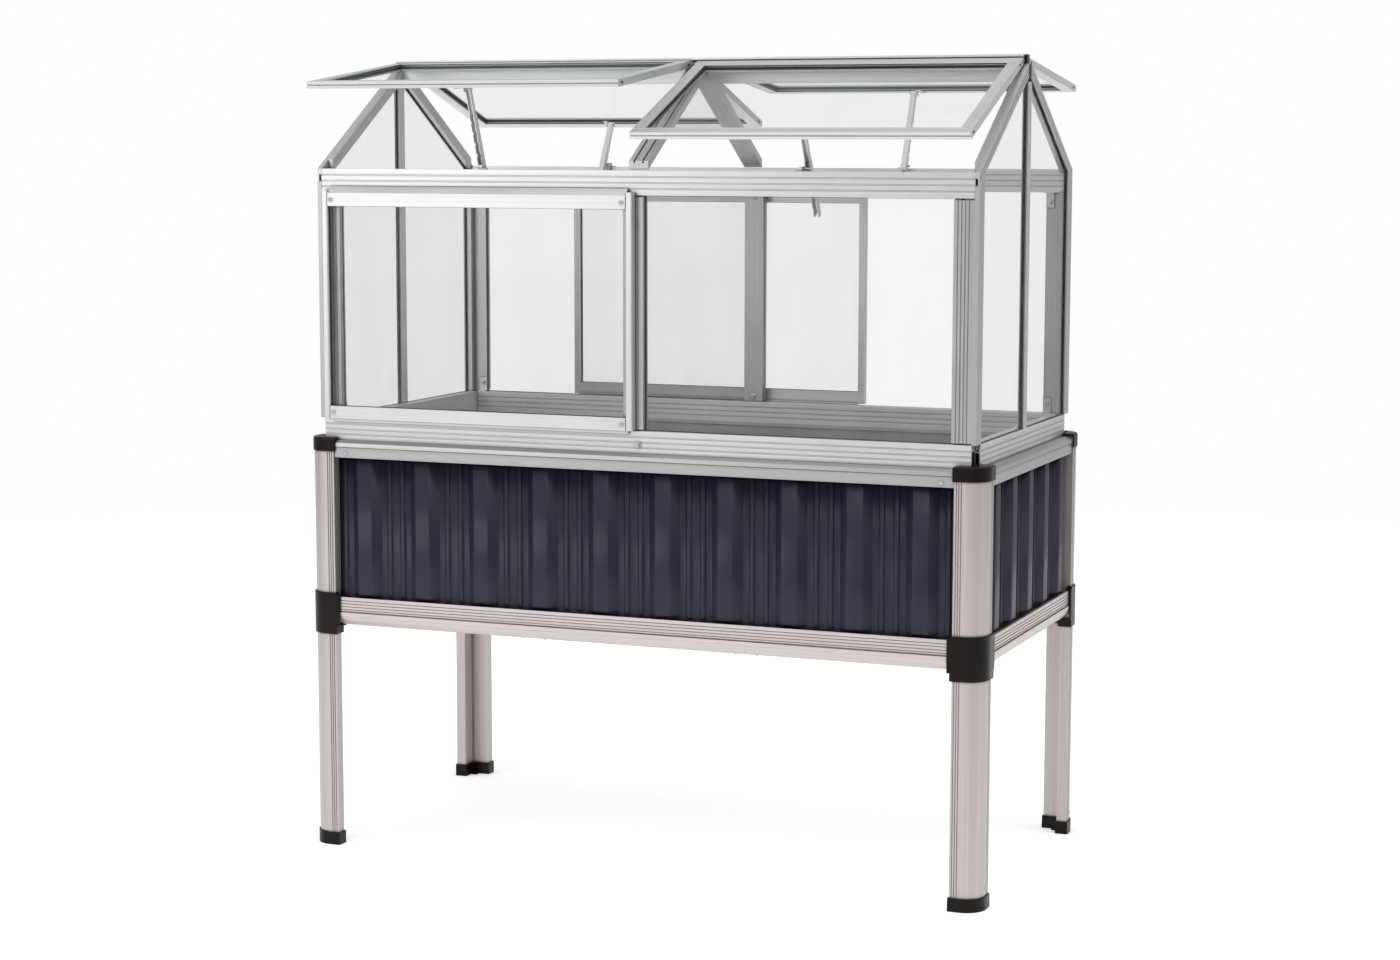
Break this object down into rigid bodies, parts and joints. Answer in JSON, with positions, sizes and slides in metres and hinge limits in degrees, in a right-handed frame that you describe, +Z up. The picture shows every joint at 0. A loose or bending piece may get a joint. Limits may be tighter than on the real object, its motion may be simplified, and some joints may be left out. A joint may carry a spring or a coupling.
{
  "type": "cold frame",
  "caption": "Aluminium cold frame with clear glass: a gable-roofed growing house with sliding doors and hinged roof vents on a raised planter with ribbed slate steel sides.",
  "frame": {"origin": "on the floor, in the middle of the footprint", "axes": "+Z up, +X along the length to the right as seen from the front, -Y towards the front with the closed sliding door on the left"},
  "size_m": [1.2066, 0.6666, 1.354],
  "materials": {
    "leg_aluminium": "satin anodised",
    "frame_aluminium": "mill finish, fine extrusion lines",
    "stay_aluminium": "satin",
    "black_plastic": "moulded, fine grain",
    "slate_steel": "satin powder coat",
    "galvanised_sheet": "dull zinc",
    "bright_steel": "zinc plated",
    "clear_glass": "clear"
  },
  "bodies": {
    "root": {"leg_front_left": "leg_aluminium", "leg_front_right": "leg_aluminium", "leg_back_left": "leg_aluminium", "leg_back_right": "leg_aluminium", "upper_posts": "leg_aluminium", "feet": "black_plastic", "post_caps": "black_plastic", "corner_connectors": "black_plastic", "top_rail_front": "leg_aluminium", "bottom_rail_front": "leg_aluminium", "panel_front": "slate_steel", "base_beam_front": "frame_aluminium", "top_rail_back": "leg_aluminium", "bottom_rail_back": "leg_aluminium", "panel_back": "slate_steel", "base_beam_back": "frame_aluminium", "top_rail_left": "leg_aluminium", "bottom_rail_left": "leg_aluminium", "panel_left": "slate_steel", "base_beam_left": "frame_aluminium", "top_rail_right": "leg_aluminium", "bottom_rail_right": "leg_aluminium", "panel_right": "slate_steel", "base_beam_right": "frame_aluminium", "floor_tray": "galvanised_sheet", "floor_bearers": "galvanised_sheet", "planter_screws": "bright_steel", "eave_beam_front": "frame_aluminium", "eave_beam_back": "frame_aluminium", "corner_posts": "frame_aluminium", "gable_rafters_left": "frame_aluminium", "gable_rafters_right": "frame_aluminium", "gable_mullion_left": "frame_aluminium", "gable_mullion_right": "frame_aluminium", "gable_panes": "clear_glass", "fixed_panes": "clear_glass", "centre_rafters": "frame_aluminium", "centre_mullions": "frame_aluminium", "ridge_beam": "frame_aluminium", "end_caps": "black_plastic", "corner_brackets": "bright_steel", "frame_bolts": "bright_steel", "stay_brackets": "bright_steel"},
    "front_door": {"front_door_frame": "frame_aluminium", "front_door_pane": "clear_glass"},
    "back_door": {"back_door_frame": "frame_aluminium", "back_door_pane": "clear_glass"},
    "vent_front_left": {"vent_front_left_frame": "frame_aluminium", "vent_front_left_pane": "clear_glass"},
    "stay_arm_front_left": {"stay_front_left": "stay_aluminium"},
    "vent_front_right": {"vent_front_right_frame": "frame_aluminium", "vent_front_right_pane": "clear_glass"},
    "stay_arm_front_right": {"stay_front_right": "stay_aluminium"},
    "vent_back_left": {"vent_back_left_frame": "frame_aluminium", "vent_back_left_pane": "clear_glass"},
    "stay_arm_back_left": {"stay_back_left": "stay_aluminium"},
    "vent_back_right": {"vent_back_right_frame": "frame_aluminium", "vent_back_right_pane": "clear_glass"},
    "stay_arm_back_right": {"stay_back_right": "stay_aluminium"}
  },
  "joints": [
    {"name": "vent_front_left_hinge", "type": "hinge", "parent": "root", "child": "vent_front_left", "pos_m": [-0.28885, -0.012, 1.344], "axis": [-1, 0, 0], "range_deg": [-24.88, 2]},
    {"name": "stay_front_left_pivot", "type": "hinge", "parent": "vent_front_left", "child": "stay_arm_front_left", "pos_m": [-0.28885, -0.2985, 1.29774], "axis": [-1, 0, 0], "range_deg": [-1.28, 13.64]},
    {"name": "vent_front_right_hinge", "type": "hinge", "parent": "root", "child": "vent_front_right", "pos_m": [0.28885, -0.012, 1.344], "axis": [-1, 0, 0], "range_deg": [-9.58, 17.3]},
    {"name": "stay_front_right_pivot", "type": "hinge", "parent": "vent_front_right", "child": "stay_arm_front_right", "pos_m": [0.28885, -0.27614, 1.22378], "axis": [-1, 0, 0], "range_deg": [-11.96, 6.72]},
    {"name": "vent_back_left_hinge", "type": "hinge", "parent": "root", "child": "vent_back_left", "pos_m": [-0.28885, 0.012, 1.344], "axis": [1, 0, 0], "range_deg": [-13.78, 13.1]},
    {"name": "stay_back_left_pivot", "type": "hinge", "parent": "vent_back_left", "child": "stay_arm_back_left", "pos_m": [-0.28885, 0.28423, 1.24345], "axis": [1, 0, 0], "range_deg": [-8.06, 8.47]},
    {"name": "vent_back_right_hinge", "type": "hinge", "parent": "root", "child": "vent_back_right", "pos_m": [0.28885, 0.012, 1.344], "axis": [1, 0, 0], "range_deg": [-24.88, 2]},
    {"name": "stay_back_right_pivot", "type": "hinge", "parent": "vent_back_right", "child": "stay_arm_back_right", "pos_m": [0.28885, 0.2985, 1.29774], "axis": [1, 0, 0], "range_deg": [-1.28, 13.64]},
    {"name": "front_door_slide", "type": "slide", "parent": "root", "child": "front_door", "axis": [1, 0, 0], "range_m": [0, 0.561]},
    {"name": "back_door_slide", "type": "slide", "parent": "root", "child": "back_door", "axis": [1, 0, 0], "range_m": [-0.2, 0.361]}
  ],
  "couplings": [
    {"joint": "stay_front_left_pivot", "follows": "vent_front_left_hinge", "ratio": -0.54},
    {"joint": "stay_front_right_pivot", "follows": "vent_front_right_hinge", "ratio": -0.68},
    {"joint": "stay_back_left_pivot", "follows": "vent_back_left_hinge", "ratio": -0.6},
    {"joint": "stay_back_right_pivot", "follows": "vent_back_right_hinge", "ratio": -0.54}
  ]
}
